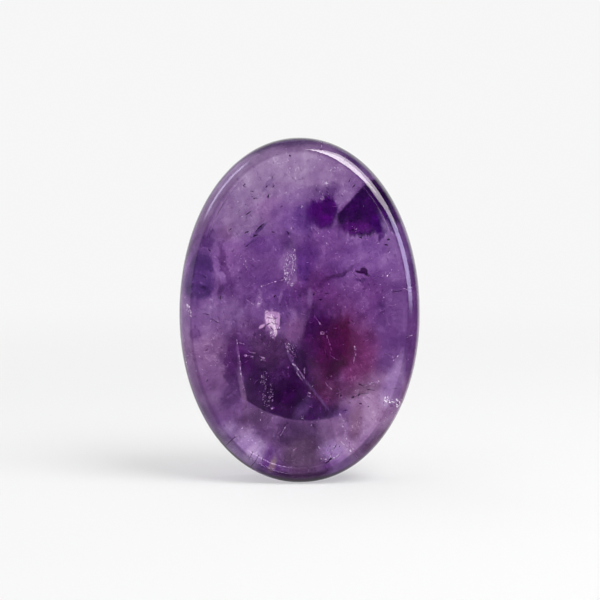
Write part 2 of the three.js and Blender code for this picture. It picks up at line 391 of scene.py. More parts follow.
# The colour is weak on the front face and strong on the back one, and changes from one to the other between
# this depth in front of the middle and the same behind it
FRONT_STRENGTH, BACK_STRENGTH = 0.25, 1.75
FULL_DEPTH = 3.0
PATTERN_DEPTH = 0.25  # how much a place's depth counts in the patterns
GIVEN_BACK = (1.15, 1.02, 1.13, 1)  # what the two faces and the body take from each colour besides

# The painted shade on the rounded edge in front, which stands in for the light that the edge bends away: how
# far it runs in, the share of the oval over which it begins, its shade colour, and ovals of it with their
# own, as in the table of zones. The dark ovals are painted shade of the dark room and of the contact shadow
# at the foot. The pale ones leave less shade where the edge shows painted reflections of the softboxes and
# windows
RIM_BAND = 2.1
RIM_BEGINS, RIM_FULL = 0.995, 1.012
RIM_PAINTED_SHADE = "#c0b4c4"
RIM_SHADE_AND_SHINE = [
    # Along the top and the right: painted shade of the dark room that the edge bends into view
    (-1.5, 50.0, 7.5, 1.3, -3, 0.8, "#5c5070", 0.95),
    (-5.6, 48.7, 2.0, 0.7, -18, 0.8, "#463a5c", 0.9),
    (9.8, 46.6, 7.5, 1.5, 32, 0.8, "#665d82", 0.95),
    (14.0, 42.0, 6.0, 1.3, 56, 0.8, "#3c3360", 0.95),
    (17.0, 33.5, 1.2, 5.4, -8, 0.8, "#6e6889", 0.9),
    # On the right, the upper left and the left: less shade, where painted reflections of the side and left
    # windows run along the edge
    (17.0, 25.0, 1.2, 4.5, 0, 0.8, "#d6c8d8", 0.8),
    (-10.8, 45.4, 4.4, 1.5, -46, 0.7, "#d2c9dd", 0.9),
    (-16.9, 27.0, 1.2, 7.5, 2, 0.8, "#e8e0e8", 0.8),
    # Along the bottom: painted shade of the contact shadow round the foot
    (-9.5, 3.8, 7.0, 1.8, 38, 0.8, "#77707f", 0.9),
    (9.8, 4.2, 7.0, 1.8, -38, 0.8, "#746c7c", 0.9),
    (0.0, 0.8, 5.5, 1.4, 0, 0.8, "#6a6076", 0.9),
]

# How far from an oval's middle its cover is worked out, in half widths: past the end of the softest edge
OVAL_REACH = 1.7


def oval_cover(tree, place, across, up, half_width, half_height, lean, softness, strength):
    """How strongly an oval colours a place: fully inside it, and less and less across its soft edge.

    The place is centred on the oval, turned with it and measured in its half width and half height. A ball
    of shade, 1 in its middle and 0 at its reach, then gives the distance."""
    inside = node(tree, "Mapping", {
        "Vector": place, "Location": (across, 0, up), "Rotation": (0, math.radians(lean), 0),
        "Scale": (half_width * OVAL_REACH, 1, half_height * OVAL_REACH)}, vector_type="TEXTURE").outputs[0]
    ball = node(tree, "TexGradient", {"Vector": inside}, gradient_type="SPHERICAL").outputs["Fac"]
    return node(tree, "MapRange", {
        "Value": ball, "From Min": 1 - (1 + softness / 2) / OVAL_REACH,
        "From Max": 1 - (1 - softness / 2) / OVAL_REACH, "To Max": strength},
        interpolation_type="SMOOTHSTEP").outputs[0]


def front_view(tree, point, depth):
    """Where the front view shows a point: its place from the middle, scaled and raised as its depth asks."""
    depths = node(tree, "CombineXYZ", {"X": depth, "Z": depth}).outputs[0]
    widening = node(tree, "VectorMath", {
        0: depths, 1: (ACROSS_PER_DEPTH, 0, UP_PER_DEPTH), 2: (ACROSS, 0, UP)},
        operation="MULTIPLY_ADD").outputs[0]
    rise = node(tree, "VectorMath", {
        0: depths, 1: (0, 0, RISE_PER_DEPTH), 2: (0, 0, SHOWN_MIDDLE)}, operation="MULTIPLY_ADD").outputs[0]
    centred = node(tree, "VectorMath", {0: point, 1: (0, 0, MIDDLE)}, operation="SUBTRACT").outputs[0]
    return node(tree, "VectorMath", {0: centred, 1: widening, 2: rise}, operation="MULTIPLY_ADD").outputs[0]


def swayed(tree, place, wave_size, detail, reach):
    """A place moved about by noise, up to this reach across, in depth and up."""
    waves = node(tree, "Mapping", {"Vector": place, "Scale": wave_size}, vector_type="TEXTURE").outputs[0]
    stir = node(tree, "TexNoise", {"Vector": waves, "Scale": 1.0, "Detail": detail, "Roughness": 0.6})
    level = node(tree, "VectorMath", {0: stir.outputs["Color"], 1: (0.5, 0.5, 0.5)}, operation="SUBTRACT")
    return node(tree, "VectorMath", {0: level.outputs[0], 1: [2 * r for r in reach], 2: place},
                operation="MULTIPLY_ADD").outputs[0]


def zone_edges(tree, place):
    """What cuts the zones off: 1 where a zone keeps its colour, and 0 past the painted lip arc or a flat
    face.
    """
    from_lip_arc = node(tree, "VectorMath", {0: place, 1: LIP_ARC_MIDDLE}, operation="SUBTRACT").outputs[0]
    distance = node(tree, "VectorMath", {0: from_lip_arc}, operation="LENGTH").outputs["Value"]
    measured = [("dish lip arc", distance, LIP_ARC_BEGINS, LIP_ARC_ENDS)]
    for name, facing, begins, ends in FLAT_FACES:
        along = node(tree, "VectorMath", {0: place, 1: facing}, operation="DOT_PRODUCT").outputs["Value"]
        measured.append((name, along, begins, ends))
    edges = {}
    for name, value, begins, ends in measured:
        edges[name] = node(tree, "MapRange", {
            "Value": value, "From Min": begins, "From Max": ends, "To Min": 1.0, "To Max": 0.0},
            interpolation_type="SMOOTHSTEP").outputs[0]
    edges["below the dish lip arc"] = node(tree, "Math", {0: 1.0, 1: edges["dish lip arc"]},
                                     operation="SUBTRACT").outputs[0]
    return edges


def zone_colour(tree, layered, places):
    """The crystal's colour: its clouds, with every zone of the table laid over them in turn."""
    cloud = node(tree, "TexNoise", {
        "Vector": layered, "Scale": 1 / CLOUD_SIZE, "Detail": 4.0, "Roughness": 0.55}).outputs[0]
    ramp = node(tree, "ValToRGB", {"Fac": cloud})
    for element, (begins, tint) in zip(ramp.color_ramp.elements, CLOUD_COLOURS):
        element.position = begins
        element.color = linear(tint)
    colour = ramp.outputs[0]
    edges = zone_edges(tree, places["crisp"])
    for across, up, half_width, half_height, lean, softness, tint, strength, sway, edge in ZONES:
        cover = oval_cover(tree, places[sway], across, up, half_width, half_height, lean, softness, strength)
        if edge:
            cover = node(tree, "Math", {0: cover, 1: edges[edge]}, operation="MULTIPLY").outputs[0]
        colour = node(tree, "Mix", {"Factor": cover, "A": colour, "B": linear(tint)},
                      data_type="RGBA").outputs["Result"]
    return node(tree, "Mix", {"Factor": 1.0, "A": colour, "B": GIVEN_BACK}, data_type="RGBA",
                blend_type="MULTIPLY").outputs["Result"]


def patterned_strength(tree, layered):
    """How strong the colour is from place to place: the even strength, and each pattern's noise on it."""
    strength = EVEN_STRENGTH
    for lean, size, detail, roughness, weight in (MOTTLING, GROWTH_LINES, UPRIGHT_SILK, GRIT):
        drawn_out = node(tree, "Mapping", {
            "Vector": layered, "Rotation": (0, math.radians(lean), 0), "Scale": size},
            vector_type="TEXTURE").outputs[0]
        pattern = node(tree, "TexNoise", {
            "Vector": drawn_out, "Scale": 1.0, "Detail": detail, "Roughness": roughness}).outputs[0]
        strength = node(tree, "Math", {0: pattern, 1: weight, 2: strength},
                        operation="MULTIPLY_ADD").outputs[0]
    return strength


def with_dashes(tree, places, strength):
    """The strength with a dash in the cells that their draw and the gathering noise leave one in."""
    slow = node(tree, "TexNoise", {
        "Vector": places["wavy"], "Scale": 1 / GATHERED_SIZE, "Detail": 1.0}).outputs[0]
    gathered = node(tree, "MapRange", {
        "Value": slow, "From Min": GATHERED_BEGINS, "From Max": GATHERED_FULL}).outputs[0]
    for lean, bare, full, weight in DASHES:
        turned = node(tree, "Mapping", {
            "Vector": places["crisp"], "Rotation": (0, math.radians(lean), 0), "Scale": DASH_CELL},
            vector_type="TEXTURE").outputs[0]
        cells = node(tree, "TexVoronoi", {"Vector": turned, "Scale": 1.0})
        dash = node(tree, "MapRange", {
            "Value": cells.outputs["Distance"], "From Min": DASH_FULL, "From Max": DASH_ENDS,
            "To Min": weight, "To Max": 0.0}).outputs[0]
        draw = node(tree, "SeparateColor", {"Color": cells.outputs["Color"]}).outputs[0]
        kept = node(tree, "MapRange", {"Value": draw, "From Min": bare, "From Max": full}).outputs[0]
        kept = node(tree, "Math", {0: kept, 1: gathered}, operation="MULTIPLY").outputs[0]
        strength = node(tree, "Math", {0: dash, 1: kept, 2: strength}, operation="MULTIPLY_ADD").outputs[0]
    return strength


def with_threads(tree, places, strength):
    """The strength with threads along the lines where the slow noise is at its middle."""
    for begins, weight in THREADS:
        moved = node(tree, "VectorMath", {0: places["frayed"], 1: (begins, begins, begins)},
                     operation="ADD").outputs[0]
        slow = node(tree, "TexNoise", {
            "Vector": moved, "Scale": 1 / THREAD_SIZE, "Detail": 3.0, "Roughness": 0.6}).outputs[0]
        off = node(tree, "Math", {0: slow, 1: 0.5}, operation="SUBTRACT").outputs[0]
        off = node(tree, "Math", {0: off}, operation="ABSOLUTE").outputs[0]
        thread = node(tree, "MapRange", {
            "Value": off, "From Min": 0.0, "From Max": THREAD_ENDS, "To Min": 1.0, "To Max": 0.0}).outputs[0]
        where = node(tree, "TexNoise", {
            "Vector": moved, "Scale": 1 / STRETCH_SIZE, "Detail": 2.0}).outputs[0]
        kept = node(tree, "MapRange", {
            "Value": where, "From Min": STRETCH_BEGINS, "From Max": STRETCH_FULL}).outputs[0]
        thread = node(tree, "Math", {0: thread, 1: kept}, operation="MULTIPLY").outputs[0]
        strength = node(tree, "Math", {0: thread, 1: weight, 2: strength},
                        operation="MULTIPLY_ADD").outputs[0]
    return strength


def with_painted_rim_shade(tree, point, depth, place, colour):
    """The colour, times a painted shade on the rounded edge in front, which stands in for the share of light
    that the edge lets through there.

    A place is on the edge where an oval, set in from the outline by the rim's band, has ended. The oval is
    drawn out so far in depth that the depth counts for nothing."""
    in_oval = node(tree, "Mapping", {
        "Vector": point, "Location": (0, 0, (HEIGHT - FOOT_DEPTH) / 2),
        "Scale": (WIDTH / 2 - RIM_BAND, 1000, (HEIGHT + FOOT_DEPTH) / 2 - RIM_BAND)},
        vector_type="TEXTURE").outputs[0]
    outward = node(tree, "VectorMath", {0: in_oval}, operation="LENGTH").outputs["Value"]
    on_rim = node(tree, "MapRange", {"Value": outward, "From Min": RIM_BEGINS, "From Max": RIM_FULL},
                  interpolation_type="SMOOTHSTEP").outputs[0]
    in_front = node(tree, "MapRange", {"Value": depth, "From Min": 1.0, "From Max": -1.0}).outputs[0]
    on_rim = node(tree, "Math", {0: on_rim, 1: in_front}, operation="MULTIPLY").outputs[0]
    # Painted shade of the rounded edge, lighter where it holds painted reflections
    rim = linear(RIM_PAINTED_SHADE)
    for across, up, half_width, half_height, lean, softness, tint, strength in RIM_SHADE_AND_SHINE:
        cover = oval_cover(tree, place, across, up, half_width, half_height, lean, softness, strength)
        rim = node(tree, "Mix", {"Factor": cover, "A": rim, "B": linear(tint)},
                   data_type="RGBA").outputs["Result"]
    return node(tree, "Mix", {"Factor": on_rim, "A": colour, "B": rim}, data_type="RGBA",
                blend_type="MULTIPLY").outputs["Result"]


def amethyst_material():
    """Polished amethyst: clear quartz, coloured in zones, and ground and tumbled to a wet gloss.

    It lets light through, bends it and mirrors the softboxes sharply. The face that light leaves by gives it
    most of its colour, so that the veils inside stay bright in front of the colour."""
    material = bpy.data.materials.new("polished amethyst")
    material.use_nodes = True
    tree = material.node_tree
    tree.nodes.clear()
    place = node(tree, "TexCoord").outputs["Object"]
    point = node(tree, "VectorMath", {0: place, "Scale": 1 / MM}, operation="SCALE").outputs[0]
    depth = node(tree, "SeparateXYZ", {"Vector": point}).outputs["Y"]
    shown = front_view(tree, point, depth)
    shallow = node(tree, "CombineXYZ", {"Y": depth}).outputs[0]
    layered = node(tree, "VectorMath", {0: shallow, 1: (0, PATTERN_DEPTH, 0), 2: shown},
                   operation="MULTIPLY_ADD").outputs[0]
    places = {}
    for sway, steps in SWAYS.items():
        places[sway] = shown
        for wave_size, detail, reach in steps:
            places[sway] = swayed(tree, places[sway], wave_size, detail, reach)
    colour = zone_colour(tree, layered, places)
    weight = node(tree, "MapRange", {
        "Value": depth, "From Min": -FULL_DEPTH, "From Max": FULL_DEPTH, "To Min": FRONT_STRENGTH,
        "To Max": BACK_STRENGTH}).outputs[0]
    strength = patterned_strength(tree, layered)
    strength = with_dashes(tree, places, strength)
    strength = with_threads(tree, places, strength)
    strength = node(tree, "Math", {0: weight, 1: strength}, operation="MULTIPLY").outputs[0]
    colour = node(tree, "Gamma", {"Color": colour, "Gamma": strength}).outputs[0]
    # The rounded edge in front takes a painted shade
    colour = with_painted_rim_shade(tree, point, depth, places["crisp"], colour)
    # Quartz has an IOR of 1.544, and the polish leaves next to no roughness. Its body is tinted so faintly
    # that only some centimetres of it show violet, as along the edge
    surface = node(tree, "BsdfPrincipled", {
        "Base Color": colour, "Roughness": 0.02, "IOR": 1.544, "Transmission Weight": 1.0})
    body = node(tree, "VolumeAbsorption", {"Color": linear("#cdb4e0"), "Density": 15.0})
    node(tree, "OutputMaterial", {"Surface": surface.outputs[0], "Volume": body.outputs[0]})
    return material


points, faces = ring_mesh(stone_points())
stone = mesh_piece("polished_stone", points, faces)
stone.data.materials.append(amethyst_material())
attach(stone, "root")
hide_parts("worry_stone")


# What is inside the stone. Places are in the millimetres of the front view, and a depth along Y

def in_stone(across, up, depth):
    """The point at a depth that the front view shows at this place, with the bending of the light undone."""
    x = across / (ACROSS + ACROSS_PER_DEPTH * depth)
    z = MIDDLE + (up - SHOWN_MIDDLE - RISE_PER_DEPTH * depth) / (UP + UP_PER_DEPTH * depth)
    return np.stack(np.broadcast_arrays(x, depth, z), axis=-1)


CHIP_SIDES = 7
CHIP_HUMP = 0.06  # how far its middle stands out each way, as a share of its length


def chips(centres, facing, lengths, slimness, rng, along=None):
    """Thin closed chips: an uneven oval of rim points, and one point each side of its middle.

    Their long way is random, or follows along as closely as the way they face lets it."""
    count = len(centres)
    facing = facing / np.linalg.norm(facing, axis=1, keepdims=True)
    length_way = np.cross(facing, rng.normal(size=(count, 3)))
    if along is not None:
        length_way = along - facing * np.sum(along * facing, axis=1, keepdims=True)
    length_way /= np.linalg.norm(length_way, axis=1, keepdims=True)
    width_way = np.cross(facing, length_way)
    turn = np.linspace(0, 2 * np.pi, CHIP_SIDES, endpoint=False) + rng.uniform(-0.3, 0.3, (count, CHIP_SIDES))
    reach = lengths[:, None] / 2 * rng.uniform(0.6, 1.1, (count, CHIP_SIDES))
    rim = (centres[:, None] + (reach * np.cos(turn))[..., None] * length_way[:, None]
           + (reach * slimness[:, None] * np.sin(turn))[..., None] * width_way[:, None])
    hump = facing * (lengths * CHIP_HUMP)[:, None]
    verts = np.concatenate([rim, (centres + hump)[:, None], (centres - hump)[:, None]], axis=1)
    here = np.arange(CHIP_SIDES)
    after = (here + 1) % CHIP_SIDES
    near = np.stack([np.full(CHIP_SIDES, CHIP_SIDES), here, after], axis=-1)
    far = np.stack([np.full(CHIP_SIDES, CHIP_SIDES + 1), after, here], axis=-1)
    one = np.concatenate([near, far])
    offsets = np.arange(count)[:, None, None] * (CHIP_SIDES + 2)
    return verts.reshape(-1, 3), (one + offsets).reshape(-1, 3).tolist()


def splinter(path, breadth, sheet_lean, thickness, rng, rings):
    """A thin sheet along a path: a flat four-cornered section that tapers to a point at both ends.

    The path is a row of places. The section's long way leans from the front view's plane into the depth."""
    steps = path_steps(path)
    share = np.linspace(0, 1, rings)
    line = along_path(path, steps, share * steps[-1])
    line[1:-1] += rng.normal(0, 0.04, (rings - 2, 3))
    way = np.gradient(line, axis=0)
    way /= np.linalg.norm(way, axis=1, keepdims=True)
    aside = np.cross(way, [0, 1.0, 0])
    aside /= np.linalg.norm(aside, axis=1, keepdims=True)
    lean = math.radians(sheet_lean)
    broad = math.cos(lean) * aside + math.sin(lean) * np.array([0, 1.0, 0])
    thin = np.cross(way, broad)
    swell = np.sin(np.pi * share) ** 0.6
    half = broad * (breadth / 2 * swell * rng.uniform(0.55, 1.25, rings))[:, None]
    slight = thin * (thickness / 2 * swell)[:, None]
    return ring_mesh(np.stack([line + half, line + slight, line - half, line - slight], axis=1))


def path_steps(path):
    """How far along a path each of its points lies, from its first one."""
    return np.concatenate([[0], np.cumsum(np.linalg.norm(np.diff(path, axis=0), axis=1))])


def along_path(path, steps, distances):
    """The points at these distances along a path."""
    return np.stack([np.interp(distances, steps, path[:, i]) for i in range(3)], axis=1)


def joined(parts):
    """Several meshes as one, in which each part's faces count on from the points before it."""
    verts, faces, start = [], [], 0
    for points, corners in parts:
        verts.append(points)
        faces += [[start + corner for corner in face] for face in corners]
        start += len(points)
    return np.concatenate(verts), faces


def inner_piece(name, parts, material):
    """One piece from many small closed parts sealed in the stone. Its faces stay flat, so that they glint."""
    points, faces = joined(parts)
    piece = mesh_piece(name, points, faces, smooth=False)
    piece.data.materials.append(material)
    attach(piece, "root")
    return piece


def plain_material(name, tint, roughness, glow=0.0):
    """An even material in one colour, with a painted glow that stands in for the light that a film scatters
    or turns back.
    """
    material = bpy.data.materials.new(name)
    material.use_nodes = True
    surface = material.node_tree.nodes["Principled BSDF"]
    surface.inputs["Base Color"].default_value = linear(tint)
    surface.inputs["Roughness"].default_value = roughness
    surface.inputs["Emission Color"].default_value = linear(tint)
    surface.inputs["Emission Strength"].default_value = glow
    return material


# Veils: middle across and up, half width, half height, lean, depth, number of chips, longest chip
VEILS = [
    (-4.3, 23.6, 0.7, 1.1, 10, -0.6, 16, 0.3),
    (-3.5, 23.0, 0.4, 0.9, -40, -0.8, 12, 0.3),
    (-3.9, 21.6, 0.4, 0.6, 0, -0.5, 18, 0.28),
    (-1.6, 31.2, 0.7, 2.4, 4, 0.2, 90, 0.22),
    (-0.8, 32.4, 0.3, 2.0, 0, 0.3, 40, 0.34),
    (-2.0, 30.4, 0.3, 0.8, 0, 0.1, 16, 0.4),
    (-1.3, 28.9, 0.6, 0.25, 0, 0.3, 8, 0.34),
    (-5.2, 15.2, 0.6, 1.0, 20, -1.2, 30, 0.24),
    (-4.6, 12.8, 0.9, 1.8, 8, -1.2, 44, 0.26),
    (-4.0, 10.8, 0.35, 0.2, 0, -1.2, 6, 0.5),
    (-7.8, 18.4, 0.4, 0.15, 10, -1.0, 5, 0.6),
    (-5.4, 18.0, 0.35, 0.25, -30, -1.0, 4, 0.5),
    (12.9, 12.2, 0.6, 0.8, -20, -1.6, 26, 0.5),
    (-16.0, 25.1, 0.3, 1.0, -16, -3.8, 30, 0.4),
    (4.8, 45.8, 1.4, 0.7, 0, -0.4, 26, 0.2),
    (3.9, 43.6, 0.3, 0.3, 0, -0.6, 8, 0.3),
    (3.3, 41.6, 0.35, 0.6, 0, -1.0, 12, 0.26),
    (0.4, 40.2, 0.25, 0.12, 0, -0.5, 3, 0.36),
    (-3.0, 48.2, 1.6, 0.7, 10, -0.5, 20, 0.22),
    (0.8, 49.0, 0.3, 0.3, 0, -0.5, 5, 0.3),
    (3.4, 21.8, 0.6, 0.25, -20, -1.2, 9, 0.34),
    (0.4, 9.4, 0.25, 0.25, 0, -1.2, 4, 0.3),
    (1.4, 12.8, 0.25, 0.35, 0, -1.2, 5, 0.34),
    (-1.2, 19.4, 0.7, 1.1, -25, -0.8, 26, 0.26),
    (8.3, 36.8, 0.3, 0.3, 0, -1.0, 5, 0.26),
    (15.0, 37.0, 0.4, 0.4, 0, -1.0, 6, 0.26),
]

# Healed cracks: places across and up along each, depth, breadth and lean of the sheet
CRACKS = [
    ([(-9.2, 20.9), (-8.9, 18.8), (-8.6, 16.6)], -1.2, 0.2, 50),
    ([(-8.9, 20.4), (-8.5, 20.3), (-8.1, 20.2)], -1.2, 0.2, 10),
    ([(-8.1, 18.7), (-7.5, 18.5), (-6.7, 18.3)], -1.2, 0.35, 10),
    ([(-7.9, 19.4), (-7.3, 19.0), (-6.5, 18.9)], -1.2, 0.2, 10),
    ([(-5.8, 18.4), (-5.3, 18.1), (-4.9, 17.6)], -1.2, 0.3, 10),
    ([(-1.9, 19.8), (-1.6, 18.8), (-0.9, 18.2), (-1.0, 17.3), (-0.3, 16.7), (-0.4, 15.9), (0.3, 15.0)],
     -1.6, 0.2, 10),
    ([(-8.8, 17.2), (-8.4, 15.0), (-8.2, 13.4)], -1.3, 0.5, 35),
    ([(-0.9, 17.4), (0.2, 15.9), (0.8, 14.9)], -1.0, 0.25, 20),
    ([(0.7, 16.6), (0.7, 15.6), (0.4, 14.8)], -1.4, 0.25, 40),
    ([(-2.1, 20.2), (-1.2, 19.2), (-0.4, 18.0)], -0.9, 0.35, 30),
    ([(5.9, 10.0), (6.4, 9.1), (6.2, 8.3), (6.9, 7.2), (6.8, 6.4), (7.5, 5.4), (7.3, 4.8), (7.9, 3.6)],
     -0.8, 0.4, 40),
    ([(5.8, 6.4), (6.6, 5.4), (7.4, 5.2)], -0.6, 0.3, 20),
    ([(7.2, 5.8), (7.9, 4.8), (8.5, 4.3)], -0.6, 0.3, 20),
    ([(4.4, 19.0), (4.7, 18.4), (5.4, 17.9)], -1.6, 0.25, 20),
    ([(4.0, 21.4), (4.3, 20.4), (4.7, 19.3)], -1.6, 0.3, 30),
    ([(8.0, 20.2), (8.2, 18.8), (7.8, 17.2)], -0.8, 0.3, 60),
    ([(-15.0, 19.4), (-15.5, 18.3), (-15.3, 17.0)], -1.5, 0.35, 30),
    ([(-15.1, 18.8), (-14.6, 18.6), (-14.3, 18.2)], -1.5, 0.2, 30),
    ([(13.5, 17.7), (14.0, 18.3), (14.7, 19.2)], -1.4, 0.28, 10),
    ([(-2.7, 6.9), (-2.3, 7.8), (-1.9, 8.4)], -1.0, 0.22, 10),
    ([(9.4, 14.0), (10.4, 14.4), (11.7, 14.9)], -1.4, 0.25, 10),
    ([(3.8, 14.4), (4.3, 13.9), (4.8, 13.5)], -1.4, 0.22, 10),
    ([(15.0, 28.5), (15.6, 28.1), (16.2, 27.8)], -3.6, 0.25, 10),
    ([(15.4, 28.7), (15.8, 28.5), (16.2, 28.4)], -3.6, 0.25, 10),
    ([(15.5, 21.2), (15.9, 21.4), (16.2, 21.5)], -3.6, 0.25, 10),
    ([(11.6, 29.9), (12.3, 30.3), (12.7, 30.8)], -1.0, 0.22, 10),
    ([(12.6, 29.8), (13.0, 30.4), (13.4, 30.8)], -1.0, 0.2, 10),
    ([(-7.7, 26.6), (-6.6, 25.9), (-5.9, 26.1)], -0.6, 0.25, 20),
    ([(-6.1, 26.0), (-5.9, 26.8), (-5.8, 27.6)], -0.6, 0.3, 40),
    ([(2.3, 24.1), (2.7, 23.5), (3.2, 22.9)], -1.2, 0.25, 20),
    ([(2.7, 48.4), (2.8, 47.4), (2.9, 46.6)], -0.6, 0.3, 50),
    ([(-5.6, 28.6), (-3.8, 29.2), (-2.0, 29.7)], -0.4, 0.3, 50),
    ([(-8.0, 32.5), (-7.8, 31.8), (-7.7, 31.1)], -0.6, 0.25, 30),
    ([(3.0, 3.6), (4.1, 3.2), (5.6, 4.0), (6.3, 4.6)], -0.8, 0.4, 20),
    ([(4.2, 3.3), (4.6, 4.4), (5.2, 5.6)], -0.8, 0.35, 20),
    ([(3.9, 3.3), (3.4, 4.6), (2.6, 5.4)], -0.8, 0.3, 20),
]

# Dark needles: middle across and up, length, breadth, lean from level
NEEDLES = [
    (-8.0, 43.4, 0.5, 0.2, 60), (-8.1, 43.2, 0.35, 0.16, -40), (-6.9, 42.4, 0.6, 0.12, -10),
    (-6.4, 41.4, 0.8, 0.14, 4), (-4.8, 43.1, 0.5, 0.2, 60), (-3.8, 43.1, 0.6, 0.14, 50),
    (-3.8, 44.6, 0.8, 0.08, 62), (-4.5, 41.7, 0.7, 0.2, 80), (-2.6, 40.2, 0.4, 0.18, 35),
    (-10.1, 36.9, 0.6, 0.14, 35), (-7.7, 36.5, 0.75, 0.22, 30), (-5.8, 37.2, 2.1, 0.28, 42),
    (-6.4, 36.0, 1.1, 0.26, 30), (-7.6, 34.5, 0.9, 0.16, 30), (-7.4, 39.3, 1.0, 0.14, 40),
    (-13.1, 33.9, 0.5, 0.2, -55), (-1.7, 36.4, 0.7, 0.22, -60), (-3.8, 36.5, 0.6, 0.16, -10),
    (7.9, 43.2, 0.7, 0.18, 50), (7.2, 44.0, 0.7, 0.12, 66), (8.9, 35.7, 0.6, 0.18, -50),
    (12.9, 35.4, 0.45, 0.26, 10), (12.6, 34.7, 0.55, 0.2, -15), (13.0, 33.8, 0.4, 0.14, 70),
    (-3.6, 27.2, 0.5, 0.34, 40), (-11.6, 26.9, 1.0, 0.12, 85), (3.1, 26.7, 0.5, 0.24, -10),
    (3.9, 27.6, 0.8, 0.14, 8), (2.1, 27.5, 0.6, 0.2, 60), (14.1, 27.9, 1.4, 0.14, 12),
    (7.7, 36.8, 0.5, 0.18, 0), (-13.5, 19.4, 0.5, 0.14, 40), (-13.6, 24.6, 1.2, 0.12, -12),
    (-12.4, 23.6, 1.6, 0.12, -22), (6.1, 12.6, 0.4, 0.24, 60), (7.8, 12.4, 0.5, 0.26, 20),
    (8.7, 12.7, 0.5, 0.2, 50), (8.9, 11.5, 0.35, 0.22, 0), (9.9, 11.2, 0.3, 0.18, 0),
    (6.7, 10.4, 0.7, 0.16, 15), (-9.3, 6.7, 0.8, 0.11, 28), (-6.9, 4.2, 0.9, 0.12, 65),
    (-6.0, 3.9, 0.8, 0.12, 68), (-5.3, 3.5, 0.9, 0.12, 70), (-5.2, 7.6, 0.7, 0.12, -30),
    (4.5, 3.5, 0.6, 0.3, 20), (4.1, 3.0, 1.0, 0.14, 40), (5.2, 5.2, 0.9, 0.12, 60),
    (10.4, 13.6, 1.2, 0.12, 6), (9.6, 13.0, 1.4, 0.12, 4), (9.0, 14.2, 0.8, 0.14, -20),
    (-4.3, 24.0, 1.2, 0.14, -8), (-3.5, 23.9, 0.8, 0.12, 24), (-3.6, 23.2, 1.3, 0.15, -22),
    (-4.6, 23.1, 0.9, 0.13, 30), (-5.1, 22.6, 0.6, 0.14, 70), (-3.2, 22.3, 0.9, 0.14, 6),
    (-4.0, 22.4, 0.8, 0.12, -38), (-2.75, 23.4, 1.4, 0.13, 88), (-4.9, 24.7, 0.5, 0.12, 60),
    (-13.3, 15.0, 0.6, 0.12, 60), (-13.0, 30.9, 0.4, 0.14, 20), (10.1, 30.2, 0.4, 0.14, 60),
]

# Where specks gather: middle across and up, and how far they spread each way
GATHERINGS = np.array([
    (-3.0, 46.3, 3.2, 1.5), (-7.6, 41.0, 2.6, 3.4), (3.2, 42.4, 1.8, 1.8), (-12.4, 19.0, 1.8, 4.4),
    (10.2, 12.8, 2.8, 1.8), (-5.0, 14.0, 1.6, 3.6), (-8.4, 6.4, 2.4, 1.6), (4.8, 4.6, 1.8, 1.4),
    (13.2, 29.0, 1.4, 3.6), (7.0, 28.0, 3.6, 2.6), (-9.0, 33.0, 2.6, 2.4), (12.4, 11.6, 1.4, 2.0),
    (7.6, 8.4, 1.8, 3.0),
])

# The oval and the depth that specks and threads keep to, clear of the stone's faces
INSIDE_HALF_WIDTH, INSIDE_HALF_HEIGHT, INSIDE_MIDDLE, INSIDE_DEPTH = 14.6, 22, 25, 2.2

# The ways that most threads rise, in degrees from level
THREAD_LEANS = [40, 75, 110, -10]


def inside_places(rng, count):
    """Places all through the stone, clear of its faces: across, up and depth."""
    reach, turn = np.sqrt(rng.uniform(0, 1, count)), rng.uniform(0, 2 * np.pi, count)
    across = INSIDE_HALF_WIDTH * reach * np.cos(turn)
    up = INSIDE_MIDDLE + INSIDE_HALF_HEIGHT * reach * np.sin(turn)
    return np.stack([across, up, rng.uniform(-INSIDE_DEPTH, INSIDE_DEPTH, count)], 1)


def veil_parts(rng, share, longer):
    """Chips strewn over each veil's oval, on a sheet that bows a little in depth, each turned its own way."""
    parts = []
    for across, up, half_width, half_height, lean, depth, count, longest in VEILS:
        count = max(2, round(count * share))
        reach, turn = np.sqrt(rng.uniform(0, 1, count)), rng.uniform(0, 2 * np.pi, count)
        aside, above = half_width * reach * np.cos(turn), half_height * reach * np.sin(turn)
        angle = math.radians(lean)
        x = across + aside * math.cos(angle) + above * math.sin(angle)
        z = up - aside * math.sin(angle) + above * math.cos(angle)
        y = depth + 0.25 * aside - 0.15 * above + rng.normal(0, 0.08, count)
        facing = np.array([0.25, -1.0, 0.2]) + rng.normal(0, 0.45, (count, 3))
        lengths = longest * longer * rng.uniform(0.3, 1.0, count)
        upward = np.array([0.12, 0.0, 1.0]) + rng.normal(0, 0.4, (count, 3))
        slimness = rng.uniform(0.18, 0.55, count)
        parts.append(chips(in_stone(x, z, y), facing, lengths, slimness, rng, along=upward))
    return parts


def crack_parts(rng, spacing, aside, longest):
    """Slim chips one after another along each crack, a little off its line and turned a little from it."""
    parts = []
    for places, depth, breadth, lean in CRACKS:
        path = in_stone(*np.array(places).T, np.full(len(places), depth))
        steps = path_steps(path)
        count = max(3, round(steps[-1] / spacing))
        at = np.sort(rng.uniform(0, steps[-1], count))
        way = along_path(path, steps, at + 0.2) - along_path(path, steps, at - 0.2)
        way += rng.normal(0, 0.08, (count, 3))
        line = along_path(path, steps, at) + rng.normal(0, 1, (count, 3)) * breadth * aside
        facing = np.array([math.sin(math.radians(lean)), -1.0, 0.2]) + rng.normal(0, 0.5, (count, 3))
        lengths = longest * rng.uniform(0.4, 1.0, count)
        parts.append(chips(line, facing, lengths, rng.uniform(0.12, 0.4, count), rng, along=way))
    return parts


